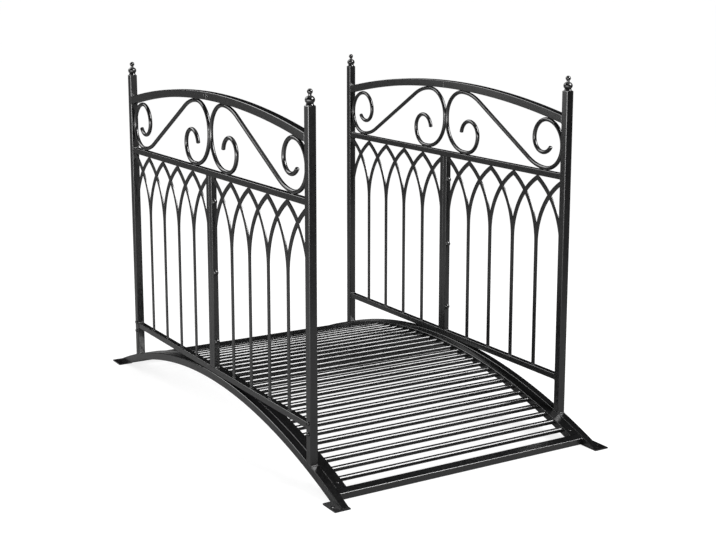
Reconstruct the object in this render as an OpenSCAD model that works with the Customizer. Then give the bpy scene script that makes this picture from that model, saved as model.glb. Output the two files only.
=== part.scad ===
// Arched garden bridge with two lattice railings, welded and bolted from square steel tube.
// X runs from the left railing to the right one, Y from the front end to the rear end, Z up.
// All sizes are millimetres. The origin is on the ground below the middle of the deck.

/* [Overall] */
// Length over the foot plates
bridge_length = 1000; // [800:1:1600]
// Distance between the two railings, centre to centre
rail_spacing = 533; // [400:1:900]
// Distance from an end of the bridge to the middle of the end post
post_inset = 115; // [90:1:160]
// Height of the side beams at mid span, to their top
crest_height = 102; // [80:1:160]

/* [Tubes] */
// Side of the square tube of beams, posts, top rails and deck end bars
tube = 15; // [12:0.5:25]
// Corner radius of that tube
tube_corner = 1.5; // [0.5:0.1:3]
// Side of the square tube of the straight rails and centre stiles
rail = 11.5; // [8:0.5:14]
// Corner radius of the rails, stiles and deck side strips
rail_corner = 1.2; // [0.5:0.1:2.5]
// Gap left at a curved or welded seat
seat_gap = 0.1; // [0.05:0.05:0.3]

/* [Feet] */
// Thickness of a foot plate
foot_t = 2.5; // [1.5:0.5:6]
// Length of a foot plate along the bridge
foot_length = 41; // [30:1:60]
// Width of the tab that stands out beside the beam
tab_width = 14.5; // [10:0.5:30]
// Diameter of the ground anchor hole
foot_hole_d = 7; // [4:0.5:9]
// Distance of the ground anchor hole from the end of the plate
foot_hole_inset = 20; // [10:1:28]
// Distance from the end of the plate to the point where the beam's top meets it
toe_setback = 4.5; // [2:0.5:10]
// Length cut off the thin tip of the beam
toe_cut = 3; // [1:0.5:6]

/* [Railing] */
// Height of the end posts without their finials
post_top = 648; // [560:1:760]
// Bevel round the top of a post
post_bevel = 1.5; // [0.5:0.5:3]
// Distance from the post tops down to the middle of the straight mid rail
mid_rail_drop = 158.5; // [130:0.5:200]
// Distance from the post tops down to the crown of the arched top rail
crown_drop = 7.5; // [0:0.5:20]
// Rise of the arched top rail from the posts to its crown
crown_rise = 37.4; // [20:0.1:60]

/* [Lattice] */
// Bays between the centre stile and an end post
bays = 5; // [3:1:8]
// Width of the flat lattice bars
bar_w = 8.5; // [4:0.5:12]
// Thickness of the flat lattice bars
bar_t = 2.2; // [1.5:0.1:5]
// Height of a pointed arch, from its spring to its point, along the middle of its bars
arch_h = 127; // [100:1:150]
// Flat on the tip of a pointed arch where it seats on the mid rail
tip_seat = 0.2; // [0.1:0.1:1]

/* [Scrolls] */
// Diameter of the scroll rod
rod_d = 7.8; // [4:0.1:10]
// Upper bend of the big volute, as a share of the clear height at the centre
volute_upper_share = 0.442; // [0.35:0.001:0.55]
// Straight upright of the big volute, as a share of the height below its upper bend
volute_side_share = 0.08; // [0.02:0.001:0.2]
// Straight foot of the big volute, as a share of the clear height at the centre
volute_foot_share = 0.078; // [0.02:0.001:0.15]
// Outer turn of the big volute, as a share of the clear height at the centre
volute_turn_share = 0.295; // [0.25:0.001:0.35]
// Last curl of the big volute, as a share of its outer turn
volute_curl_share = 0.778; // [0.6:0.001:0.9]
// Angle that the big volute's last curl turns through
volute_curl_angle = 170; // [120:5:200]
// Bend from the big volute into the slanting bar, as a share of the run between the volutes
shoulder_share = 0.425; // [0.3:0.001:0.5]
// Bend from the slanting bar into the small volute, as a share of the run between the volutes
heel_share = 0.384; // [0.25:0.001:0.45]
// Clearance between the small volute and the top rail
small_clear = 3.4; // [1:0.1:20]
// Turn of the small volute under the top rail, as a share of its outer bend
small_turn_share = 0.788; // [0.7:0.001:0.92]
// Last curl of the small volute, as a share of its outer bend
small_curl_share = 0.579; // [0.4:0.001:0.68]
// Angle that the small volute's last curl turns through
small_curl_angle = 145; // [90:5:170]

/* [Finials] */
// Radius of the big ball
ball_r = 8.4; // [6:0.2:10]
// Half height of the big ball
ball_half_h = 6.6; // [5:0.2:8]
// Radius of the small top ball
bead_r = 4.8; // [3:0.2:6]
// Radius of the collar where the finial sits on the post
collar_r = 7; // [5:0.2:7.4]
// Height of the collar below the big ball
collar_h = 2; // [1:0.5:6]
// Height of the neck between the two balls
neck_h = 2; // [1:0.5:5]
// Radius of the neck between the two balls
neck_r = 2.8; // [1.5:0.1:4]

/* [Deck] */
// Number of round deck bars
deck_bars = 34; // [20:1:50]
// Diameter of a deck bar
deck_bar_d = 10; // [6:0.5:12]
// Width of the deck's side strips
strip_w = 20; // [12:1:40]
// Height of the deck's side strips
strip_h = 14; // [12:0.5:18]
// Distance from an end of the bridge to the middle of a deck end bar
end_bar_inset = 41; // [36:0.5:80]
// Distance along the arch from the middle of a deck end bar to the next deck bar
deck_lead = 34; // [20:0.5:60]

/* [Hidden] */
$fn = 96;
steel = [0.13, 0.13, 0.14];
half_length = bridge_length / 2;
rail_x = rail_spacing / 2;
post_y = half_length - post_inset;
post_face = post_y - tube / 2;
beam_in = rail_x - tube / 2;
beam_out = rail_x + tube / 2;
// Rounds a length to a hundredth of a millimetre, so that bends meet exactly
function mm(x) = round(100 * x) / 100;
// The beam's top is one arc through the crest and the two toes
arch_half = half_length - toe_setback;
arch_rise = crest_height - foot_t;
arch_r = (arch_half * arch_half + arch_rise * arch_rise) / (2 * arch_rise);
arch_cz = crest_height - arch_r;
arch_sweep = 2 * asin(arch_half / arch_r) + 4;
deck_in = beam_in - strip_w;
end_bar_angle = asin((half_length - end_bar_inset) / arch_r);
strip_sweep = 2 * (end_bar_angle - asin(tube / 2 / arch_r));
deck_rod_r = arch_r - strip_h / 2;
deck_angle = end_bar_angle - deck_lead / deck_rod_r * 180 / PI;
bottom_rail_z = crest_height + seat_gap + rail / 2;
mid_rail_z = post_top - mid_rail_drop;
mid_top = mid_rail_z + rail / 2;
mid_bottom = mid_rail_z - rail / 2;
bottom_top = bottom_rail_z + rail / 2;
// The top rail is one arc through its crown and the posts
crown_height = post_top - crown_drop;
crown_radius = (post_face * post_face + crown_rise * crown_rise) / (2 * crown_rise);
crown_cz = crown_height - crown_radius;
crown_sweep = asin(post_y / crown_radius) + 1;
rail_under_r = crown_radius - tube;
rail_ease = 0.6 * tube_corner;
// Lattice pitch and the radius of an arch that spans two bays and stands upright at its spring
bay = (post_face - rail) / bays;
bar_r = (arch_h * arch_h + bay * bay) / (2 * bay);
tip_h = sqrt(pow(bar_r + bar_w / 2, 2) - pow(bar_r - bay, 2));
spring_z = mid_bottom - tip_h + tip_seat;
// Scroll levels, radii and centres, all in the plane of a railing
rod_r = rod_d / 2;
low_z = mm(mid_top + seat_gap + rod_r);
volute_y = mm(seat_gap / 2 + rod_r);
centre_clear = crown_height - tube - mid_top - rod_d - 2 * seat_gap;
volute_upper_r = mm(volute_upper_share * centre_clear);
top_y = volute_y + volute_upper_r;
high_z = mm(crown_cz + sqrt(pow(rail_under_r, 2) - pow(top_y, 2)) - seat_gap - rod_r);
volute_z = high_z - volute_upper_r;
volute_lower_r = mm((volute_z - low_z) * (1 - volute_side_share));
belly_y = volute_y + volute_lower_r;
belly_z = low_z + volute_lower_r;
volute_turn_r = mm(volute_turn_share * centre_clear);
turn_y = belly_y + mm(volute_foot_share * centre_clear);
turn_z = low_z + volute_turn_r;
volute_curl_r = mm(volute_curl_share * volute_turn_r);
curl_y = turn_y + volute_turn_r - volute_curl_r;
// The small volute fills the corner under the falling top rail, less its clearance
rail_fall = post_face / rail_under_r;
end_clear = crown_cz + sqrt(pow(rail_under_r, 2) - pow(post_face, 2)) - mid_top;
small_room = end_clear + rail_fall * (rod_r + seat_gap) - rod_d - seat_gap - small_clear;
volute_small_r = mm(small_room / (2 - rail_fall));
heel_y = mm(post_face - seat_gap - rod_r) - volute_small_r;
small_z = low_z + volute_small_r;
small_turn_r = mm(small_turn_share * volute_small_r);
small_turn_z = small_z + volute_small_r - small_turn_r;
small_curl_r = mm(small_curl_share * volute_small_r);
small_curl_y = heel_y - small_turn_r + small_curl_r;
// The slanting bar is the inner tangent of the shoulder bend and the heel bend
shoulder_r = mm(shoulder_share * (heel_y - top_y));
heel_r = mm(heel_share * (heel_y - top_y));
shoulder_c = [top_y, high_z - shoulder_r];
heel_c = [heel_y, low_z + heel_r];
bend_span = norm(heel_c - shoulder_c);
bend_lean = atan2(heel_c[1] - shoulder_c[1], heel_c[0] - shoulder_c[0]);
slant = asin((shoulder_r + heel_r) / bend_span) - bend_lean;
slant_from = shoulder_c + shoulder_r * [sin(slant), cos(slant)];
slant_to = heel_c - heel_r * [sin(slant), cos(slant)];
slant_length = norm(slant_to - slant_from);
// Overlap and step that join the slanting bar to its two bends
weld_lap = 1;
weld_step = 0.02;

// Placing
// Pieces are drawn at the right rear and mirrored to the other corners
module corner(left, front) {
    if (left && front) {
        mirror([1, 0, 0]) mirror([0, 1, 0]) children();
    } else if (left) {
        mirror([1, 0, 0]) children();
    } else if (front) {
        mirror([0, 1, 0]) children();
    } else {
        children();
    }
}

// Turns a drawing from the XY plane into the YZ plane, with its thickness along X
module upright() {
    rotate([90, 0, 90]) children();
}

// Section of a rolled tube, with its corners rounded
module tube_section(w, h, corner) {
    translate([corner, 0]) square([w - 2 * corner, h]);
    translate([0, corner]) square([w, h - 2 * corner]);
    for (x = [corner, w - corner], y = [corner, h - corner])
        translate([x, y]) circle(r = corner, $fn = 24);
}

// Section of a tube with its corners eased flat, for a bent rail that is sawn off square to the ground
module eased_section(w, h, corner) {
    polygon([[corner, 0], [w - corner, 0], [w, corner], [w, h - corner],
             [w - corner, h], [corner, h], [0, h - corner], [0, corner]]);
}

// Level rail in the plane of the railing, from mid span to the post
module level_rail(z0) {
    translate([rail_x - rail / 2, 0, z0])
        rotate([-90, 0, 0])
            translate([0, -rail])
                linear_extrude(post_face) tube_section(rail, rail, rail_corner);
}

// Bar of a given section bent to an arc in the plane of the railing, from a rear end to a front one
module bent_bar(x0, r0, cz, rear, sweep) {
    translate([0, 0, cz])
        upright()
            rotate([0, 0, 90 - rear])
                rotate_extrude(angle = sweep, $fn = 180)
                    translate([r0, x0])
                        children();
}

// Round rod bent to an arc in the plane of the railing
module rod_arc(cy, cz, r, from, sweep) {
    translate([rail_x, cy, cz])
        upright()
            rotate([0, 0, from])
                rotate_extrude(angle = sweep)
                    translate([r, 0])
                        circle(d = rod_d, $fn = 32);
}

// Base
module side_beam(left) {
    color(steel)
        corner(left, false)
            difference() {
                bent_bar(beam_in, arch_r - tube, arch_cz, arch_sweep / 2, arch_sweep)
                    tube_section(tube, tube, tube_corner);
                translate([beam_in - tube, -bridge_length, foot_t - 4 * tube])
                    cube([3 * tube, 2 * bridge_length, 4 * tube]);
                for (s = [-1, 1])
                    translate([beam_in - tube, s * (arch_half - toe_cut + tube) - tube, 0])
                        cube([3 * tube, 2 * tube, 2 * tube]);
            }
}

module foot(left, front) {
    color(steel)
        corner(left, front)
            difference() {
                translate([beam_in, half_length - foot_length, 0])
                    cube([tube + tab_width, foot_length, foot_t]);
                translate([beam_out + tab_width / 2, half_length - foot_hole_inset, -foot_t])
                    cylinder(d = foot_hole_d, h = 3 * foot_t, $fn = 48);
            }
}

// Deck
module deck_strip(left) {
    color(steel)
        corner(left, false)
            bent_bar(deck_in, arch_r - strip_h, arch_cz, strip_sweep / 2, strip_sweep)
                tube_section(strip_h, strip_w, rail_corner);
}

module deck_end_bar(front) {
    color(steel)
        corner(false, front)
            translate([0, 0, arch_cz])
                rotate([-end_bar_angle, 0, 0])
                    translate([-beam_in, -tube / 2, arch_r - tube])
                        upright() linear_extrude(2 * beam_in) tube_section(tube, tube, tube_corner);
}

module deck_rods() {
    color(steel)
        for (i = [0 : deck_bars - 1]) {
            a = deck_angle * (2 * i / (deck_bars - 1) - 1);
            translate([-deck_in, deck_rod_r * sin(a), arch_cz + deck_rod_r * cos(a)])
                rotate([0, 90, 0])
                    cylinder(d = deck_bar_d, h = 2 * deck_in, $fn = 32);
        }
}

// Railing frame
// Outline of a post, with its top bevelled, seen along one of its sides
module post_outline() {
    half = tube / 2;
    polygon([
        [-half, 0],
        [half, 0],
        [half, post_top - post_bevel],
        [half - post_bevel, post_top],
        [post_bevel - half, post_top],
        [-half, post_top - post_bevel]
    ]);
}

module end_post(left, front) {
    color(steel)
        corner(left, front)
            difference() {
                translate([rail_x, post_y, 0])
                    intersection() {
                        translate([-tube, 0, 0])
                            upright() linear_extrude(2 * tube) post_outline();
                        translate([0, tube, 0])
                            rotate([90, 0, 0]) linear_extrude(2 * tube) post_outline();
                        translate([-tube / 2, -tube / 2, 0])
                            linear_extrude(post_top + tube) tube_section(tube, tube, tube_corner);
                    }
                translate([rail_x - tube, 0, arch_cz])
                    upright() cylinder(r = arch_r + seat_gap, h = 2 * tube, $fn = 180);
            }
}

// Half outline of a finial, turned round the post's axis
module finial_outline() {
    ball_z = collar_h + ball_half_h;
    bead_z = ball_z + ball_half_h + neck_h + bead_r;
    intersection() {
        translate([0, 0]) square([2 * ball_r, bead_z + 2 * bead_r]);
        union() {
            polygon([
                [0, 0],
                [collar_r, 0],
                [collar_r - collar_h / 3, collar_h],
                [ball_r - ball_half_h / 2, ball_z],
                [0, ball_z]
            ]);
            translate([0, ball_z - ball_half_h])
                square([ball_r - ball_half_h, 2 * ball_half_h]);
            translate([ball_r - ball_half_h, ball_z]) circle(r = ball_half_h, $fn = 48);
            translate([0, ball_z]) square([neck_r, bead_z - ball_z]);
            translate([0, bead_z]) circle(r = bead_r, $fn = 48);
        }
    }
}

module finial(left, front) {
    color(steel)
        corner(left, front)
            translate([rail_x, post_y, post_top])
                rotate_extrude($fn = 48) finial_outline();
}

module centre_stile(left, front) {
    color(steel)
        corner(left, front)
            translate([rail_x - rail / 2, 0, bottom_top])
                linear_extrude(mid_bottom - bottom_top) tube_section(rail, rail, rail_corner);
}

module bottom_rail(left, front) {
    color(steel)
        corner(left, front)
            level_rail(bottom_rail_z - rail / 2);
}

module mid_rail(left, front) {
    color(steel)
        corner(left, front)
            level_rail(mid_bottom);
}

module top_rail(left, front) {
    color(steel)
        corner(left, front)
            difference() {
                bent_bar(beam_in, rail_under_r, crown_cz, crown_sweep, crown_sweep)
                    eased_section(tube, tube, rail_ease);
                translate([beam_in - tube, post_face, mid_top])
                    cube([3 * tube, post_face, crown_height]);
            }
}

// Lattice of pickets and interlaced pointed arches
// One arch limb, from its spring on a picket up to the point above the next one
module arch_limb() {
    intersection() {
        translate([bar_r, 0])
            difference() {
                circle(r = bar_r + bar_w / 2, $fn = 180);
                circle(r = bar_r - bar_w / 2, $fn = 180);
            }
        translate([-bar_w, 0]) square([bay + bar_w, tip_h]);
    }
}

module lattice_outline() {
    intersection() {
        translate([rail, bottom_top]) square([bays * bay, mid_bottom - bottom_top]);
        union() {
            for (i = [1 : bays - 1])
                translate([rail + i * bay - bar_w / 2, bottom_top])
                    square([bar_w, spring_z - bottom_top]);
            for (i = [0 : bays - 1])
                translate([rail + i * bay, spring_z]) arch_limb();
            for (i = [1 : bays])
                translate([rail + i * bay, spring_z]) mirror([1, 0]) arch_limb();
        }
    }
}

module lattice(left, front) {
    color(steel)
        corner(left, front)
            translate([rail_x - bar_t / 2, 0, 0])
                upright() linear_extrude(bar_t) lattice_outline();
}

// Scrolls
module scroll(left, front) {
    color(steel)
        corner(left, front)
            union() {
                // big volute, from its tip outwards
                rod_arc(curl_y, turn_z, volute_curl_r, 0, volute_curl_angle);
                rod_arc(turn_y, turn_z, volute_turn_r, 270, 90);
                translate([rail_x, belly_y, low_z])
                    rotate([-90, 0, 0]) cylinder(r = rod_r, h = turn_y - belly_y, $fn = 32);
                rod_arc(belly_y, belly_z, volute_lower_r, 180, 90);
                translate([rail_x, volute_y, belly_z])
                    cylinder(r = rod_r, h = volute_z - belly_z, $fn = 32);
                rod_arc(top_y, volute_z, volute_upper_r, 90, 90);
                // slanting bar between its two bends
                rod_arc(shoulder_c[0], shoulder_c[1], shoulder_r, 90, -slant);
                translate([rail_x, slant_from[0], slant_from[1]])
                    rotate([-90 - slant, 0, 0])
                        translate([0, 0, -weld_lap])
                            cylinder(r = rod_r + weld_step, h = slant_length + 2 * weld_lap, $fn = 32);
                rod_arc(heel_c[0], heel_c[1], heel_r, 270, -slant);
                // small volute beside the post
                rod_arc(heel_y, small_z, volute_small_r, 270, 180);
                rod_arc(heel_y, small_turn_z, small_turn_r, 90, 90);
                rod_arc(small_curl_y, small_turn_z, small_curl_r, 180, small_curl_angle);
            }
}

side_beam(true);  // left_side_beam
side_beam(false);  // right_side_beam
foot(true, true);  // left_front_foot
foot(true, false);  // left_rear_foot
foot(false, true);  // right_front_foot
foot(false, false);  // right_rear_foot
end_post(true, true);  // left_front_post
end_post(true, false);  // left_rear_post
end_post(false, true);  // right_front_post
end_post(false, false);  // right_rear_post
finial(true, true);  // left_front_finial
finial(true, false);  // left_rear_finial
finial(false, true);  // right_front_finial
finial(false, false);  // right_rear_finial
centre_stile(true, true);  // left_front_stile
centre_stile(true, false);  // left_rear_stile
centre_stile(false, true);  // right_front_stile
centre_stile(false, false);  // right_rear_stile
bottom_rail(true, true);  // left_front_bottom_rail
bottom_rail(true, false);  // left_rear_bottom_rail
bottom_rail(false, true);  // right_front_bottom_rail
bottom_rail(false, false);  // right_rear_bottom_rail
mid_rail(true, true);  // left_front_mid_rail
mid_rail(true, false);  // left_rear_mid_rail
mid_rail(false, true);  // right_front_mid_rail
mid_rail(false, false);  // right_rear_mid_rail
top_rail(true, true);  // left_front_top_rail
top_rail(true, false);  // left_rear_top_rail
top_rail(false, true);  // right_front_top_rail
top_rail(false, false);  // right_rear_top_rail
lattice(true, true);  // left_front_lattice
lattice(true, false);  // left_rear_lattice
lattice(false, true);  // right_front_lattice
lattice(false, false);  // right_rear_lattice
scroll(true, true);  // left_front_scroll
scroll(true, false);  // left_rear_scroll
scroll(false, true);  // right_front_scroll
scroll(false, false);  // right_rear_scroll
deck_strip(true);  // left_deck_strip
deck_strip(false);  // right_deck_strip
deck_end_bar(true);  // front_deck_bar
deck_end_bar(false);  // rear_deck_bar
deck_rods();
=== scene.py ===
"""Looks of a garden moon bridge in black powder-coated steel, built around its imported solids."""

import math

import bmesh
import bpy
from mathutils import Matrix, Vector


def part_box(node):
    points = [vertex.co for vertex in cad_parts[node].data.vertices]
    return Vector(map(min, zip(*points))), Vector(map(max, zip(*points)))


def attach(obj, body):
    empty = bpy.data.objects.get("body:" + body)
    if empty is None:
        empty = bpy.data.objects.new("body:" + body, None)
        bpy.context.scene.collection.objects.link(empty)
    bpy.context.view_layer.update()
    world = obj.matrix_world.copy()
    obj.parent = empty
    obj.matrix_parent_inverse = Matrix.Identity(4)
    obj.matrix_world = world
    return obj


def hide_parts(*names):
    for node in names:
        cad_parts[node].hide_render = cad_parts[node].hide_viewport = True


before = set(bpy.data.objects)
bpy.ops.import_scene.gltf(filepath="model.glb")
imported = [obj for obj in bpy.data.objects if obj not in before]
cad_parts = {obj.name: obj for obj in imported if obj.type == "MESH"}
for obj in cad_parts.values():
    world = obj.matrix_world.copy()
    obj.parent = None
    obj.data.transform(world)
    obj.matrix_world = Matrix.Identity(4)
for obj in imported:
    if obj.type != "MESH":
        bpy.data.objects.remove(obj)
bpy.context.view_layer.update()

bl_info = {
    "name": "Garden Moon Bridge",
    "version": (1, 0, 0),
    "blender": (4, 5, 0),
    "location": "View3D > Sidebar > Bridge",
    "description": "Dresses the solids of a small steel garden bridge with its coat, fasteners and welds",
    "category": "Object",
}

SIDES = ("left", "right")
ENDS = ("front", "rear")

# Small fixed sizes, in metres
MERGE = 1e-6
COLLAR_SWELL, COLLAR_DEPTH = 0.0005, 0.0008
WASHER, BOLT_END = 0.0010, 0.0007
CROWN_SCREW = 0.0075
STRIP_SCREW_INSET = 0.012

# Shares of the width of a head
SOCKET, BOLT_DOME, BOLT_END_WIDTH = 0.24, 0.97, 0.40
# Shares of the height of a head
HEAD_RIM, SOCKET_DEPTH = 0.12, 0.5
# Height of a head: of its width on a screw, of its radius on a bolt
STRIP_SCREW_RISE, BOLT_RISE = 0.16, 0.72
SCREW_SEGMENTS = 20

# Weld puddles: spacing and swell as shares of the bead, turn of the swell from one puddle to the next
PUDDLE_STEP, PUDDLE_SWELL, PUDDLE_TURN = 0.6, 0.06, 2.3
# Bead under a post as a share of the other beads, and place of a tack as a share of the rod
POST_BEAD, TACK_PLACE = 1.2, 0.28

# Angles by which a top rail is bent too long at the post and at the crown, before it is sawn off
POST_SPARE, CROWN_SPARE = 0.02, 0.01
SMOOTH_ANGLE = math.radians(38)

# Camera and floor
SENSOR, SHIFT = 36.0, -0.075
FLOOR_RADIUS = 60.0

# Lamps: name, setting with the power, width, height, place, aim
LAMPS = (
    ("front_lamp", "key_light", 1.6, 2.1, (1.71, -2.19, 2.75), (0, 0, 1.0)),
    ("side_lamp", "side_light", 3.0, 0.5, (-2.13, -1.49, 0.37), (0, 0, 0.37)),
    ("wall_lamp", "wall_light", 4.0, 1.2, (-2.60, 2.00, 0.62), (0, 2.0, 0.62)),
    ("back_lamp", "back_light", 3.0, 2.4, (-1.60, 2.55, 2.75), (0, 0, 0.5)),
    ("top_lamp", "top_light", 2.0, 2.0, (0, 0, 3.2), (0, 0, 0)),
)


# Defaults taken from the solids

def beam_crest():
    """Height of the top of the arched side beams at mid span"""
    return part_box("left_side_beam")[1].z


def beam_arch(toe):
    """Radius of the top of the side beams, from their length, their rise and the tip cut off each end"""
    low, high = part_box("left_side_beam")
    half, rise = high.y + toe, high.z - low.z
    return (half * half + rise * rise) / (2 * rise)


def rail_arch(side, end):
    """Radius of the top of an arched top rail, from its reach and drop"""
    low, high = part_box(f"{side}_{end}_top_rail")
    tube, reach, drop = high.x - low.x, high.y - low.y, high.z - low.z
    return (drop * drop + reach * reach - tube * tube) / (2 * (drop - tube))


class BridgeCoat(bpy.types.PropertyGroup):
    """Finish of the steel"""

    colour: bpy.props.FloatVectorProperty(
        name="Coat", description="Colour of the powder coat", subtype="COLOR", size=4,
        default=(0.0035, 0.0035, 0.0037, 1.0), min=0.0, max=1.0)
    thin_colour: bpy.props.FloatVectorProperty(
        name="Thin coat", description="Colour where the coat lies a little thinner", subtype="COLOR", size=4,
        default=(0.0065, 0.0065, 0.0068, 1.0), min=0.0, max=1.0)
    smooth: bpy.props.FloatProperty(
        name="Smoothest", description="Roughness of the coat where it flowed out", subtype="FACTOR",
        default=0.17, min=0.0, max=1.0)
    rough: bpy.props.FloatProperty(
        name="Roughest", description="Roughness of the coat where it stayed dry", subtype="FACTOR",
        default=0.25, min=0.0, max=1.0)
    peel: bpy.props.FloatProperty(
        name="Orange peel", description="Depth of the fine unevenness of the coat", subtype="DISTANCE",
        unit="LENGTH", default=0.00004, min=0.0, max=0.001, precision=5)


class BridgeTubes(bpy.types.PropertyGroup):
    """Bent tubes of the base and the railings"""

    corner: bpy.props.FloatProperty(
        name="Tube corner", description="Corner radius of the beams and top rails", subtype="DISTANCE",
        unit="LENGTH", default=0.0015, min=0.0005, max=0.003, precision=4)
    strip_corner: bpy.props.FloatProperty(
        name="Strip corner", description="Corner radius of the deck strips", subtype="DISTANCE",
        unit="LENGTH", default=0.0012, min=0.0005, max=0.0025, precision=4)
    strip_height: bpy.props.FloatProperty(
        name="Strip height", description="Height of the deck strips", subtype="DISTANCE",
        unit="LENGTH", default=0.014, min=0.012, max=0.018, precision=4)
    toe: bpy.props.FloatProperty(
        name="Toe cut", description="Length cut off the thin tip of each beam", subtype="DISTANCE",
        unit="LENGTH", default=0.003, min=0.001, max=0.006, precision=4)
    sawn_edge: bpy.props.FloatProperty(
        name="Sawn edge", description="Ease of the sawn ends", subtype="DISTANCE",
        unit="LENGTH", default=0.0003, min=0.0001, max=0.001, precision=4)
    bends: bpy.props.IntProperty(
        name="Bends", description="Number of short lengths that make up a bend", default=96, min=24, max=200)


class BridgeWelds(bpy.types.PropertyGroup):
    """Weld beads and the tips of the scrolls, in the plane of a railing"""

    bead: bpy.props.FloatProperty(
        name="Bead", description="Radius of a weld bead on the tubes", subtype="DISTANCE",
        unit="LENGTH", default=0.0013, min=0.0005, max=0.003, precision=4)
    fine_bead: bpy.props.FloatProperty(
        name="Fine bead", description="Radius of a weld bead on the flat bars", subtype="DISTANCE",
        unit="LENGTH", default=0.0009, min=0.0004, max=0.002, precision=4)
    tack: bpy.props.FloatProperty(
        name="Tack", description="Length of the short beads that hold a scroll", subtype="DISTANCE",
        unit="LENGTH", default=0.008, min=0.003, max=0.02, precision=4)
    rod: bpy.props.FloatProperty(
        name="Scroll rod", description="Diameter of the scroll rod", subtype="DISTANCE",
        unit="LENGTH", default=0.0078, min=0.004, max=0.01, precision=4)
    shoulder: bpy.props.FloatProperty(
        name="Shoulder", description="Distance from mid span to the point where a scroll touches the top rail",
        subtype="DISTANCE", unit="LENGTH", default=0.0580, precision=4)
    volute_foot: bpy.props.FloatProperty(
        name="Volute foot", description="Distance from mid span to the foot of the big volute",
        subtype="DISTANCE", unit="LENGTH", default=0.0707, precision=4)
    heel: bpy.props.FloatProperty(
        name="Heel", description="Distance from mid span to the heel of the small volute",
        subtype="DISTANCE", unit="LENGTH", default=0.3280, precision=4)
    volute_side: bpy.props.FloatProperty(
        name="Volute side", description="Height at which the two big volutes touch", subtype="DISTANCE",
        unit="LENGTH", default=0.5639, precision=4)
    post_side: bpy.props.FloatProperty(
        name="Post side", description="Height at which the small volute touches the post", subtype="DISTANCE",
        unit="LENGTH", default=0.5448, precision=4)
    big_tip: bpy.props.FloatVectorProperty(
        name="Big tip", description="Tip of the big volute: distance from mid span, height", size=2,
        subtype="XYZ_LENGTH", unit="LENGTH", default=(0.05583, 0.54018))
    big_tip_turn: bpy.props.FloatProperty(
        name="Big tip turn", description="Direction in which the big volute ends, from level outwards",
        subtype="ANGLE", unit="ROTATION", default=math.radians(260))
    small_tip: bpy.props.FloatVectorProperty(
        name="Small tip", description="Tip of the small volute: distance from mid span, height", size=2,
        subtype="XYZ_LENGTH", unit="LENGTH", default=(0.34006, 0.53930))
    small_tip_turn: bpy.props.FloatProperty(
        name="Small tip turn", description="Direction in which the small volute ends, from level outwards",
        subtype="ANGLE", unit="ROTATION", default=math.radians(55))
    bays: bpy.props.IntProperty(
        name="Bays", description="Bays of a lattice between a middle stile and a post", default=5, min=3, max=8)
    flat_bar: bpy.props.FloatVectorProperty(
        name="Flat bar", description="Thickness and width of the lattice bars", size=2, subtype="XYZ_LENGTH",
        unit="LENGTH", default=(0.0022, 0.0085))
    deck_rods: bpy.props.IntProperty(
        name="Deck rods", description="Number of round deck rods", default=34, min=20, max=50)
    deck_rod: bpy.props.FloatProperty(
        name="Deck rod", description="Diameter of a deck rod", subtype="DISTANCE", unit="LENGTH",
        default=0.010, min=0.006, max=0.012, precision=4)


class BridgeFasteners(bpy.types.PropertyGroup):
    """Bolts and screws"""

    bolt_head: bpy.props.FloatProperty(
        name="Bolt head", description="Width of the domed heads on the middle stiles", subtype="DISTANCE",
        unit="LENGTH", default=0.0114, min=0.004, max=0.013, precision=4)
    post_screw_head: bpy.props.FloatProperty(
        name="Post screw head", description="Width of the screw heads low on the posts", subtype="DISTANCE",
        unit="LENGTH", default=0.0078, min=0.003, max=0.011, precision=4)
    screw_head: bpy.props.FloatProperty(
        name="Screw head", description="Width of the small screw heads", subtype="DISTANCE",
        unit="LENGTH", default=0.0056, min=0.003, max=0.01, precision=4)
    bolt_heights: bpy.props.FloatVectorProperty(
        name="Bolt heights", description="Heights of the three bolts that join the middle stiles",
        subtype="XYZ_LENGTH", unit="LENGTH", size=3, default=(0.1645, 0.2996, 0.4355))
    post_screw_heights: bpy.props.FloatVectorProperty(
        name="Post screw heights", description="Heights of the two screws low on each post",
        subtype="XYZ_LENGTH", unit="LENGTH", size=2, default=(0.0954, 0.1141))


class BridgeStage(bpy.types.PropertyGroup):
    """Camera, floor and lamps"""

    eye: bpy.props.FloatVectorProperty(
        name="Camera", description="Place of the camera", subtype="XYZ_LENGTH", unit="LENGTH", size=3,
        default=(-1.2905, -2.2422, 0.8532))
    heading: bpy.props.FloatProperty(
        name="Heading", description="Turn of the camera to the right of the bridge's length", subtype="ANGLE",
        unit="ROTATION", default=math.radians(30.956))
    tilt: bpy.props.FloatProperty(
        name="Tilt", description="Turn of the camera down from level", subtype="ANGLE",
        unit="ROTATION", default=math.radians(10.340))
    lens: bpy.props.FloatProperty(
        name="Lens", description="Focal length of the camera in millimetres", default=66.443, min=20.0, max=200.0)
    key_light: bpy.props.FloatProperty(
        name="Front lamp", description="Power of the large soft lamp high in front, to the right", subtype="POWER",
        unit="POWER", default=212.0, min=0.0)
    side_light: bpy.props.FloatProperty(
        name="Side lamp", description="Power of the low soft lamp to the left of the camera", subtype="POWER",
        unit="POWER", default=42.0, min=0.0)
    wall_light: bpy.props.FloatProperty(
        name="Wall", description="Power of the dim white wall along the left side", subtype="POWER",
        unit="POWER", default=6.0, min=0.0)
    back_light: bpy.props.FloatProperty(
        name="Back lamp", description="Power of the soft lamp behind, to the left", subtype="POWER",
        unit="POWER", default=104.0, min=0.0)
    top_light: bpy.props.FloatProperty(
        name="Top lamp", description="Power of the soft lamp overhead", subtype="POWER",
        unit="POWER", default=10.0, min=0.0)


# Materials

def noise(tree, place, scale, detail):
    """Noise texture laid out in the piece's own space"""
    texture = tree.nodes.new("ShaderNodeTexNoise")
    texture.inputs["Scale"].default_value = scale
    texture.inputs["Detail"].default_value = detail
    tree.links.new(place.outputs["Object"], texture.inputs["Vector"])
    return texture


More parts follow.
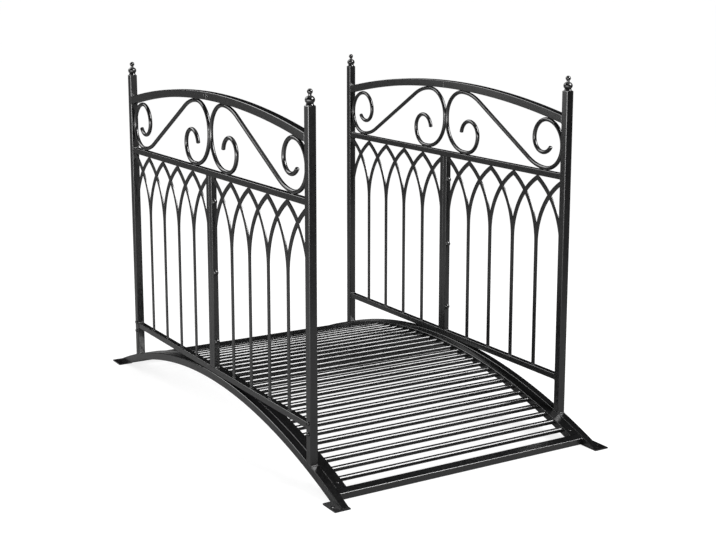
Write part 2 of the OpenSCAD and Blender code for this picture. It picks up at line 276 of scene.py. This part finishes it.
def mirrored_rays(tree, path):
    """One for rays that were mirrored or went through glass, otherwise none"""
    mirrored = tree.nodes.new("ShaderNodeMath")
    mirrored.operation = "MAXIMUM"
    tree.links.new(path.outputs["Is Glossy Ray"], mirrored.inputs[0])
    tree.links.new(path.outputs["Is Transmission Ray"], mirrored.inputs[1])
    return mirrored.outputs[0]


def coat_material():
    """Satin black powder coat: uneven gloss, a fine orange peel and slightly thinner patches"""
    name = "black_powder_coat"
    if name in bpy.data.materials:
        return bpy.data.materials[name]
    coat = bpy.context.scene.bridge_coat
    material = bpy.data.materials.new(name)
    material.use_nodes = True
    tree = material.node_tree
    nodes, links = tree.nodes, tree.links
    shader = nodes["Principled BSDF"]
    shader.inputs["Specular IOR Level"].default_value = 0.8
    place = nodes.new("ShaderNodeTexCoord")

    patches = noise(tree, place, 22.0, 4.0)
    patches.inputs["Roughness"].default_value = 0.6
    colours = nodes.new("ShaderNodeValToRGB")
    colours.color_ramp.elements[0].position = 0.38
    colours.color_ramp.elements[0].color = coat.colour
    colours.color_ramp.elements[1].position = 0.72
    colours.color_ramp.elements[1].color = coat.thin_colour
    links.new(patches.outputs["Fac"], colours.inputs["Fac"])
    links.new(colours.outputs["Color"], shader.inputs["Base Color"])

    grain = noise(tree, place, 160.0, 3.0)
    gloss = nodes.new("ShaderNodeMapRange")
    gloss.inputs["From Min"].default_value = 0.3
    gloss.inputs["From Max"].default_value = 0.7
    gloss.inputs["To Min"].default_value = coat.smooth
    gloss.inputs["To Max"].default_value = coat.rough
    links.new(grain.outputs["Fac"], gloss.inputs["Value"])
    links.new(gloss.outputs["Result"], shader.inputs["Roughness"])

    peel = noise(tree, place, 620.0, 2.0)
    bump = nodes.new("ShaderNodeBump")
    bump.inputs["Strength"].default_value = 0.18
    bump.inputs["Distance"].default_value = coat.peel
    links.new(peel.outputs["Fac"], bump.inputs["Height"])
    links.new(bump.outputs["Normal"], shader.inputs["Normal"])
    return material


# Mesh helpers

def add_piece(name, bm):
    """Closes a finished bmesh and turns it into a coated piece that rides on the bridge"""
    bmesh.ops.remove_doubles(bm, verts=bm.verts, dist=MERGE)
    bmesh.ops.holes_fill(bm, edges=[e for e in bm.edges if e.is_boundary])
    bmesh.ops.recalc_face_normals(bm, faces=bm.faces)
    mesh = bpy.data.meshes.new(name)
    bm.to_mesh(mesh)
    bm.free()
    mesh.shade_smooth()
    mesh.set_sharp_from_angle(angle=SMOOTH_ANGLE)
    mesh.materials.append(coat_material())
    piece = bpy.data.objects.new(name, mesh)
    bpy.context.scene.collection.objects.link(piece)
    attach(piece, "root")
    return piece


def facing(point, direction):
    """Matrix that sets a shape made on the floor upright on a surface at a point"""
    return Matrix.Translation(point) @ Vector(direction).to_track_quat("Z", "Y").to_matrix().to_4x4()


def set_in(bm, part, place):
    """Sets a shape made at the origin into a piece, at its place"""
    bmesh.ops.transform(part, matrix=place, verts=part.verts)
    loose = bpy.data.meshes.new("loose")
    part.to_mesh(loose)
    part.free()
    bm.from_mesh(loose)
    bpy.data.meshes.remove(loose)


def domed_head(bm, width, place, segments=24, rise=0.36):
    """Low domed head with a hexagon socket, spun from its outline"""
    part = bmesh.new()
    radius, height, socket = width / 2, rise * width, SOCKET * width
    outline = [part.verts.new((radius, 0, 0)), part.verts.new((radius, 0, HEAD_RIM * height))]
    for step in range(1, 6):
        turn = math.radians(step * 12)
        up = height * (HEAD_RIM + math.sin(turn))
        outline.append(part.verts.new((radius * math.cos(turn), 0, up)))
    edges = [part.edges.new(pair) for pair in zip(outline, outline[1:])]
    bmesh.ops.spin(part, geom=outline + edges, cent=(0, 0, 0), axis=(0, 0, 1), angle=math.tau,
                   steps=segments, use_merge=True)
    top = max(v.co.z for v in part.verts)
    rim = [e for e in part.edges if e.is_boundary and all(v.co.z > top - MERGE for v in e.verts)]
    hexagon = bmesh.ops.create_circle(part, cap_ends=False, radius=socket, segments=6,
                                      matrix=Matrix.Translation((0, 0, top)))["verts"]
    hex_edges = list({e for v in hexagon for e in v.link_edges})
    bmesh.ops.bridge_loops(part, edges=rim + hex_edges)
    down = bmesh.ops.extrude_edge_only(part, edges=hex_edges)["geom"]
    floor = [g for g in down if isinstance(g, bmesh.types.BMVert)]
    bmesh.ops.translate(part, verts=floor, vec=(0, 0, -SOCKET_DEPTH * height))
    bmesh.ops.contextual_create(part, geom=[g for g in down if isinstance(g, bmesh.types.BMEdge)
                                            and all(v in floor for v in g.verts)])
    bmesh.ops.recalc_face_normals(part, faces=part.faces)
    set_in(bm, part, place)


def turned_disc(bm, radius, thickness, place, segments=24, ease=0.25):
    """Disc with an eased rim"""
    made = bmesh.ops.create_cone(bm, cap_ends=True, cap_tris=False, segments=segments, radius1=radius,
                                 radius2=radius, depth=thickness,
                                 matrix=place @ Matrix.Translation((0, 0, thickness / 2)))["verts"]
    caps = {f for v in made for f in v.link_faces if len(f.verts) == segments}
    rims = list({e for f in caps for e in f.edges})
    bmesh.ops.bevel(bm, geom=rims, offset=ease * thickness, offset_type="OFFSET", segments=2, profile=0.5,
                    affect="EDGES", material=-1)


def weld_run(bm, first, last, size):
    """Row of overlapping weld puddles from one point to another"""
    first, last = Vector(first), Vector(last)
    count = max(2, round((last - first).length / (PUDDLE_STEP * size)))
    part = bmesh.new()
    for index in range(count + 1):
        swell = size * (1.0 + PUDDLE_SWELL * math.sin(PUDDLE_TURN * index))
        bmesh.ops.create_icosphere(part, subdivisions=2, radius=swell,
                                   matrix=Matrix.Translation(first.lerp(last, index / count)))
    set_in(bm, part, Matrix.Identity(4))


def rounded_tip(bm, width, place, rise=0.55, segments=24):
    """Smooth dome that closes the end of a round rod or makes a plain bolt head"""
    part = bmesh.new()
    radius = width / 2
    outline = [part.verts.new((radius * math.cos(math.radians(15 * step)), 0,
                               rise * radius * math.sin(math.radians(15 * step)))) for step in range(7)]
    edges = [part.edges.new(pair) for pair in zip(outline, outline[1:])]
    bmesh.ops.spin(part, geom=outline + edges, cent=(0, 0, 0), axis=(0, 0, 1), angle=math.tau,
                   steps=segments, use_merge=True)
    set_in(bm, part, place)


def saw(bm, point, outward, ease=0.0):
    """Saws a tube off at a plane, closes the cut and may ease its rim"""
    bmesh.ops.bisect_plane(bm, geom=bm.verts[:] + bm.edges[:] + bm.faces[:], plane_co=point,
                           plane_no=outward, clear_outer=True)
    cut = bmesh.ops.holes_fill(bm, edges=[e for e in bm.edges if e.is_boundary])["faces"]
    if ease:
        rim = list({e for f in cut for e in f.edges})
        bmesh.ops.bevel(bm, geom=rim, offset=ease, offset_type="OFFSET", segments=1, profile=0.5,
                        affect="EDGES", clamp_overlap=True, material=-1)


def bent_tube(x, width, height, corner, crown, radius, first, last, steps):
    """Tube with rounded corners, bent along the bridge between two angles from upright"""
    bm = bmesh.new()
    bmesh.ops.create_grid(bm, x_segments=1, y_segments=1, size=0.5)
    bmesh.ops.scale(bm, vec=(width, height, 1.0), verts=bm.verts)
    bmesh.ops.bevel(bm, geom=bm.verts[:], offset=corner, offset_type="OFFSET", segments=5, profile=0.5,
                    affect="VERTICES", material=-1)
    bmesh.ops.delete(bm, geom=bm.faces[:], context="FACES_ONLY")
    bmesh.ops.rotate(bm, cent=(0, 0, 0), matrix=Matrix.Rotation(math.pi / 2, 3, "X"), verts=bm.verts)
    bmesh.ops.translate(bm, vec=(x, 0, crown - height / 2), verts=bm.verts)
    centre = (0, 0, crown - radius)
    bmesh.ops.rotate(bm, cent=centre, matrix=Matrix.Rotation(-first, 3, "X"), verts=bm.verts)
    bmesh.ops.spin(bm, geom=bm.verts[:] + bm.edges[:], cent=centre, axis=(-1, 0, 0), angle=last - first,
                   steps=steps, use_merge=False)
    return bm


def add_tube(name, bm, node):
    """Adds a bent tube in place of its plain solid, with shading that keeps its flat faces flat"""
    piece = add_piece(name, bm)
    even = piece.modifiers.new("flat_faces", "WEIGHTED_NORMAL")
    even.weight = 100
    even.keep_sharp = True
    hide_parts(node)


# Operators

class BRIDGE_OT_coat_solids(bpy.types.Operator):
    """Gives every solid of the bridge the black powder coat"""

    bl_idname = "bridge.coat_solids"
    bl_label = "Coat the solids"

    def execute(self, context):
        coat = coat_material()
        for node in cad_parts.values():
            node.data.materials.clear()
            node.data.materials.append(coat)
        return {"FINISHED"}


class BRIDGE_OT_bent_tubes(bpy.types.Operator):
    """Side beams, deck strips and arched top rails, bent from tube and sawn off at their ends"""

    bl_idname = "bridge.bent_tubes"
    bl_label = "Bent tubes"

    def execute(self, context):
        sizes = context.scene.bridge_tubes
        radius = beam_arch(sizes.toe)
        crest = beam_crest()
        ease = sizes.sawn_edge
        for side in SIDES:
            low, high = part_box(f"{side}_side_beam")
            tube, x = high.x - low.x, (low.x + high.x) / 2
            reach = math.asin((high.y + 2 * sizes.toe) / radius)
            bm = bent_tube(x, tube, tube, sizes.corner, crest, radius, -reach, reach, sizes.bends)
            saw(bm, (0, 0, low.z), (0, 0, -1))
            saw(bm, (0, low.y, 0), (0, -1, 0))
            saw(bm, (0, high.y, 0), (0, 1, 0))
            add_tube(f"{side}_beam_tube", bm, f"{side}_side_beam")

            low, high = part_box(f"{side}_deck_strip")
            reach = math.asin(high.y / radius)
            bm = bent_tube((low.x + high.x) / 2, high.x - low.x, sizes.strip_height, sizes.strip_corner,
                           crest, radius, -reach, reach, sizes.bends)
            bmesh.ops.holes_fill(bm, edges=[e for e in bm.edges if e.is_boundary])
            add_tube(f"{side}_strip_tube", bm, f"{side}_deck_strip")

            for end in ENDS:
                low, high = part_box(f"{side}_{end}_top_rail")
                tube, bend = high.x - low.x, rail_arch(side, end)
                out = -1 if end == "front" else 1
                face = low.y if out < 0 else high.y
                middle = high.y if out < 0 else low.y
                turn = out * (math.asin(abs(face) / bend) + POST_SPARE)
                first, last = sorted((turn, -CROWN_SPARE * out))
                bm = bent_tube((low.x + high.x) / 2, tube, tube, sizes.corner, high.z, bend, first, last,
                               sizes.bends // 2)
                saw(bm, (0, face, 0), (0, out, 0), ease)
                saw(bm, (0, middle, 0), (0, -out, 0), ease)
                add_tube(f"{side}_{end}_rail_tube", bm, f"{side}_{end}_top_rail")
        return {"FINISHED"}


class BRIDGE_OT_scroll_tips(bpy.types.Operator):
    """Rounded tips of the scroll rods"""

    bl_idname = "bridge.scroll_tips"
    bl_label = "Scroll tips"

    def execute(self, context):
        sizes = context.scene.bridge_welds
        for side in SIDES:
            low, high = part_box(f"{side}_front_scroll")
            x = (low.x + high.x) / 2
            bm = bmesh.new()
            for out in (-1, 1):
                for (y, z), turn in ((sizes.big_tip, sizes.big_tip_turn),
                                     (sizes.small_tip, sizes.small_tip_turn)):
                    onward = (0, out * math.cos(turn), math.sin(turn))
                    rounded_tip(bm, sizes.rod, facing((x, out * y, z), onward))
            add_piece(f"{side}_scroll_tips", bm)
        return {"FINISHED"}


class BRIDGE_OT_railing_welds(bpy.types.Operator):
    """Weld beads on the posts, rails, stiles, lattices and scrolls"""

    bl_idname = "bridge.railing_welds"
    bl_label = "Railing welds"

    def execute(self, context):
        sizes = context.scene.bridge_welds
        bead, fine, half_tack = sizes.bead, sizes.fine_bead, sizes.tack / 2
        radius = beam_arch(context.scene.bridge_tubes.toe)
        crest = beam_crest()
        for side in SIDES:
            bm = bmesh.new()

            def across(low, high, y, z, size):
                weld_run(bm, (low.x + size, y, z), (high.x - size, y, z), size)

            for end in ENDS:
                out = -1 if end == "front" else 1
                post_low, post_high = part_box(f"{side}_{end}_post")
                for y in (post_low.y, post_high.y):
                    z = crest - radius + math.sqrt(radius * radius - y * y)
                    across(post_low, post_high, y, z, POST_BEAD * bead)
                face = post_high.y if out < 0 else post_low.y
                rail_low, rail_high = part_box(f"{side}_{end}_top_rail")
                bend = rail_arch(side, end)
                across(post_low, post_high, face, rail_low.z, bead)
                z = rail_high.z - bend + math.sqrt(bend * bend - face * face)
                across(post_low, post_high, face, z, bead)
                for rail in ("mid", "bottom"):
                    low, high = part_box(f"{side}_{end}_{rail}_rail")
                    for z in (low.z, high.z):
                        weld_run(bm, (low.x, face, z), (high.x, face, z), bead)
                    for x in (low.x, high.x):
                        weld_run(bm, (x, face, low.z), (x, face, high.z), bead)
                low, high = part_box(f"{side}_{end}_stile")
                inner = low.y if out < 0 else high.y
                for z in (low.z, high.z):
                    across(low, high, inner, z, bead)

                x = (low.x + high.x) / 2
                bay = (face - inner) / sizes.bays
                thick, wide = sizes.flat_bar
                for count in range(1, sizes.bays):
                    for turn in (-1, 1):
                        y, bar = inner + count * bay, x + turn * thick / 2
                        weld_run(bm, (bar, y - wide / 2, low.z), (bar, y + wide / 2, low.z), fine)
                        weld_run(bm, (bar, y - wide / 3, high.z), (bar, y + wide / 3, high.z), fine)

                mid_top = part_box(f"{side}_{end}_mid_rail")[1].z
                under = rail_high.z - bend
                under += math.sqrt((bend - (rail_high.x - rail_low.x)) ** 2 - sizes.shoulder ** 2)
                for turn in (-1, 1):
                    beside = x + turn * TACK_PLACE * sizes.rod
                    for y, z in ((sizes.volute_foot, mid_top), (sizes.heel, mid_top),
                                 (sizes.shoulder, under)):
                        weld_run(bm, (beside, out * (y - half_tack), z),
                                 (beside, out * (y + half_tack), z), bead)
                    weld_run(bm, (beside, face, sizes.post_side - half_tack),
                             (beside, face, sizes.post_side + half_tack), bead)
                    if out > 0:
                        weld_run(bm, (beside, 0, sizes.volute_side - half_tack),
                                 (beside, 0, sizes.volute_side + half_tack), bead)
            add_piece(f"{side}_railing_welds", bm)
        return {"FINISHED"}


class BRIDGE_OT_deck_welds(bpy.types.Operator):
    """Small weld collars where the deck rods run into the strips"""

    bl_idname = "bridge.deck_welds"
    bl_label = "Deck welds"

    def execute(self, context):
        sizes = context.scene.bridge_welds
        tubes = context.scene.bridge_tubes
        rod = sizes.deck_rod / 2
        radius = beam_arch(tubes.toe)
        centre, run = beam_crest() - radius, radius - tubes.strip_height / 2
        low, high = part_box("deck_rods")
        reach = math.asin((high.y - rod) / run)
        for side in SIDES:
            inward = 1 if side == "left" else -1
            face = low.x if side == "left" else high.x
            bm = bmesh.new()
            for count in range(sizes.deck_rods):
                lean = reach * (2 * count / (sizes.deck_rods - 1) - 1)
                point = (face + inward * COLLAR_DEPTH / 2, run * math.sin(lean), centre + run * math.cos(lean))
                bmesh.ops.create_cone(bm, cap_ends=False, segments=16, radius1=rod + COLLAR_SWELL,
                                      radius2=rod, depth=COLLAR_DEPTH,
                                      matrix=facing(point, (inward, 0, 0)))
            add_piece(f"{side}_deck_welds", bm)
        return {"FINISHED"}


class BRIDGE_OT_stile_bolts(bpy.types.Operator):
    """Bolts the two halves of each railing together through the middle stiles"""

    bl_idname = "bridge.stile_bolts"
    bl_label = "Stile bolts"

    def execute(self, context):
        sizes = context.scene.bridge_fasteners
        width = sizes.bolt_head
        for side in SIDES:
            near_low, near_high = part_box(f"{side}_front_stile")
            far_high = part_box(f"{side}_rear_stile")[1]
            x = (near_low.x + near_high.x) / 2
            bm = bmesh.new()
            for z in sizes.bolt_heights:
                head = facing((x, near_low.y, z), (0, -1, 0))
                turned_disc(bm, width / 2, WASHER, head)
                rounded_tip(bm, BOLT_DOME * width, head @ Matrix.Translation((0, 0, WASHER)), BOLT_RISE)
                back = facing((x, far_high.y, z), (0, 1, 0))
                turned_disc(bm, BOLT_END_WIDTH * width, BOLT_END, back)
            add_piece(f"{side}_stile_bolts", bm)
        return {"FINISHED"}


class BRIDGE_OT_small_screws(bpy.types.Operator):
    """Screws at the crown of the top rails, low on the posts and at the ends of the deck strips"""

    bl_idname = "bridge.small_screws"
    bl_label = "Small screws"

    def execute(self, context):
        sizes = context.scene.bridge_fasteners
        width = sizes.screw_head
        radius = beam_arch(context.scene.bridge_tubes.toe)
        for side in SIDES:
            out = -1 if side == "left" else 1
            bm = bmesh.new()
            rail_low, rail_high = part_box(f"{side}_front_top_rail")
            outer = rail_low.x if out < 0 else rail_high.x
            for y in (-CROWN_SCREW, CROWN_SCREW):
                place = facing((outer, y, rail_high.z - CROWN_SCREW), (out, 0, 0))
                domed_head(bm, width, place, SCREW_SEGMENTS)
            for end in ENDS:
                low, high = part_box(f"{side}_{end}_post")
                outer = low.x if out < 0 else high.x
                for z in sizes.post_screw_heights:
                    place = facing((outer, (low.y + high.y) / 2, z), (out, 0, 0))
                    domed_head(bm, sizes.post_screw_head, place, SCREW_SEGMENTS)
            low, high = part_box(f"{side}_deck_strip")
            x = (low.x + high.x) / 2
            for y in (low.y + STRIP_SCREW_INSET, high.y - STRIP_SCREW_INSET):
                lean = math.asin(y / radius)
                z = high.z - radius * (1 - math.cos(lean))
                place = facing((x, y, z), (0, math.sin(lean), math.cos(lean)))
                domed_head(bm, width, place, SCREW_SEGMENTS, STRIP_SCREW_RISE)
            add_piece(f"{side}_screws", bm)
        return {"FINISHED"}


class BRIDGE_OT_stage(bpy.types.Operator):
    """Camera, white floor, lamps and surroundings"""

    bl_idname = "bridge.stage"
    bl_label = "Stage"

    def execute(self, context):
        scene = context.scene
        stage = scene.bridge_stage
        scene.view_settings.view_transform = "Standard"

        camera = bpy.data.cameras.new("camera")
        camera.sensor_width = SENSOR
        camera.lens = stage.lens
        camera.shift_y = SHIFT
        camera.clip_end = 100.0
        eye = bpy.data.objects.new("camera", camera)
        eye.location = stage.eye
        eye.rotation_euler = (math.pi / 2 - stage.tilt, 0, -stage.heading)
        scene.collection.objects.link(eye)
        scene.camera = eye

        bm = bmesh.new()
        bmesh.ops.create_circle(bm, cap_ends=True, radius=FLOOR_RADIUS, segments=96)
        mesh = bpy.data.meshes.new("floor")
        bm.to_mesh(mesh)
        bm.free()
        mesh.materials.append(floor_material())
        floor = bpy.data.objects.new("floor", mesh)
        scene.collection.objects.link(floor)

        for name, power, width, height, place, aim in LAMPS:
            light = bpy.data.lights.new(name, "AREA")
            light.shape = "RECTANGLE"
            light.size, light.size_y = width, height
            light.energy = getattr(stage, power)
            holder = bpy.data.objects.new(name, light)
            holder.visible_camera = False
            holder.location = place
            holder.rotation_euler = (Vector(aim) - Vector(place)).to_track_quat("-Z", "Y").to_euler()
            scene.collection.objects.link(holder)
        scene.world = surroundings()
        return {"FINISHED"}


def floor_material():
    """White floor that keeps the shadow near the bridge and fades to plain white far away"""
    material = bpy.data.materials.new("white_floor")
    material.use_nodes = True
    tree = material.node_tree
    nodes, links = tree.nodes, tree.links
    nodes.clear()
    out = nodes.new("ShaderNodeOutputMaterial")
    path = nodes.new("ShaderNodeLightPath")
    place = nodes.new("ShaderNodeTexCoord")
    reach = nodes.new("ShaderNodeVectorMath")
    reach.operation = "LENGTH"
    links.new(place.outputs["Object"], reach.inputs[0])

    across = nodes.new("ShaderNodeSeparateXYZ")
    links.new(place.outputs["Object"], across.inputs["Vector"])

    def fade(near, far, first, last, along=reach.outputs["Value"]):
        step = nodes.new("ShaderNodeMapRange")
        step.interpolation_type = "SMOOTHSTEP"
        for socket, value in zip(("From Min", "From Max", "To Min", "To Max"), (near, far, first, last)):
            step.inputs[socket].default_value = value
        links.new(along, step.inputs["Value"])
        return step.outputs["Result"]

    def times(first, second):
        product = nodes.new("ShaderNodeMath")
        product.operation = "MULTIPLY"
        links.new(first, product.inputs[0])
        links.new(second, product.inputs[1])
        return product.outputs[0]

    # Mirrored light: dim, a little lighter to the left, and bright far off at the front left
    sideways = nodes.new("ShaderNodeVectorMath")
    sideways.operation = "DOT_PRODUCT"
    sideways.inputs[1].default_value = (-0.87, -0.49, 0.0)
    links.new(place.outputs["Object"], sideways.inputs[0])
    mirrored_glow = nodes.new("ShaderNodeMath")
    mirrored_glow.operation = "ADD"
    links.new(fade(-1.5, 0.6, 0.17, 0.04, across.outputs["X"]), mirrored_glow.inputs[0])
    links.new(fade(0.7, 1.3, 0.0, 0.9, sideways.outputs["Value"]), mirrored_glow.inputs[1])
    strength = nodes.new("ShaderNodeMath")
    strength.operation = "ADD"
    links.new(times(path.outputs["Is Camera Ray"], fade(0.7, 2.0, 0.84, 1.0)), strength.inputs[0])
    links.new(times(mirrored_rays(tree, path), mirrored_glow.outputs[0]), strength.inputs[1])
    glow = nodes.new("ShaderNodeEmission")
    links.new(strength.outputs[0], glow.inputs["Strength"])
    matt = nodes.new("ShaderNodeBsdfDiffuse")
    links.new(fade(1.0, 2.2, 0.23, 0.04), matt.inputs["Color"])
    both = nodes.new("ShaderNodeAddShader")
    links.new(glow.outputs[0], both.inputs[0])
    links.new(matt.outputs[0], both.inputs[1])
    links.new(both.outputs[0], out.inputs["Surface"])
    return material


def surroundings():
    """White to the eye, dim low down and dark above in mirrored light, and a little even light"""
    world = bpy.data.worlds.new("surroundings")
    world.use_nodes = True
    tree = world.node_tree
    nodes, links = tree.nodes, tree.links
    back = nodes["Background"]
    path = nodes.new("ShaderNodeLightPath")
    place = nodes.new("ShaderNodeTexCoord")
    split = nodes.new("ShaderNodeSeparateXYZ")
    links.new(place.outputs["Generated"], split.inputs["Vector"])
    height = nodes.new("ShaderNodeMapRange")
    height.interpolation_type = "SMOOTHSTEP"
    height.inputs["From Min"].default_value = 0.0
    height.inputs["From Max"].default_value = 0.06
    height.inputs["To Max"].default_value = 0.008
    links.new(split.outputs["Z"], height.inputs["Value"])
    side = nodes.new("ShaderNodeMapRange")
    side.inputs["From Min"].default_value = -0.4
    side.inputs["From Max"].default_value = 0.1
    side.inputs["To Min"].default_value = 0.19
    side.inputs["To Max"].default_value = 0.04
    links.new(split.outputs["X"], side.inputs["Value"])
    links.new(side.outputs["Result"], height.inputs["To Min"])
    even = nodes.new("ShaderNodeMix")
    even.data_type = "FLOAT"
    even.inputs["A"].default_value = 0.12
    links.new(mirrored_rays(tree, path), even.inputs["Factor"])
    links.new(height.outputs["Result"], even.inputs["B"])
    eye = nodes.new("ShaderNodeMath")
    eye.operation = "MAXIMUM"
    links.new(even.outputs["Result"], eye.inputs[0])
    links.new(path.outputs["Is Camera Ray"], eye.inputs[1])
    links.new(eye.outputs[0], back.inputs["Strength"])
    back.inputs["Color"].default_value = (1, 1, 1, 1)
    return world


class BRIDGE_PT_panel(bpy.types.Panel):
    """Lists the steps that dress the bridge"""

    bl_idname = "BRIDGE_PT_panel"
    bl_label = "Moon Bridge"
    bl_space_type = "VIEW_3D"
    bl_region_type = "UI"
    bl_category = "Bridge"

    def draw(self, context):
        for step in STEPS:
            self.layout.operator(step.bl_idname)


STEPS = (BRIDGE_OT_coat_solids, BRIDGE_OT_bent_tubes, BRIDGE_OT_scroll_tips, BRIDGE_OT_railing_welds,
         BRIDGE_OT_deck_welds, BRIDGE_OT_stile_bolts, BRIDGE_OT_small_screws, BRIDGE_OT_stage)
GROUPS = {"bridge_coat": BridgeCoat, "bridge_tubes": BridgeTubes, "bridge_welds": BridgeWelds,
          "bridge_fasteners": BridgeFasteners, "bridge_stage": BridgeStage}


def register():
    for group in GROUPS.values():
        bpy.utils.register_class(group)
    for name, group in GROUPS.items():
        setattr(bpy.types.Scene, name, bpy.props.PointerProperty(type=group))
    for step in STEPS:
        bpy.utils.register_class(step)
    bpy.utils.register_class(BRIDGE_PT_panel)


def unregister():
    bpy.utils.unregister_class(BRIDGE_PT_panel)
    for step in reversed(STEPS):
        bpy.utils.unregister_class(step)
    for name, group in reversed(list(GROUPS.items())):
        delattr(bpy.types.Scene, name)
        bpy.utils.unregister_class(group)


def main():
    register()
    bpy.ops.bridge.coat_solids()
    bpy.ops.bridge.bent_tubes()
    bpy.ops.bridge.scroll_tips()
    bpy.ops.bridge.railing_welds()
    bpy.ops.bridge.deck_welds()
    bpy.ops.bridge.stile_bolts()
    bpy.ops.bridge.small_screws()
    bpy.ops.bridge.stage()


if __name__ == "__main__":
    main()
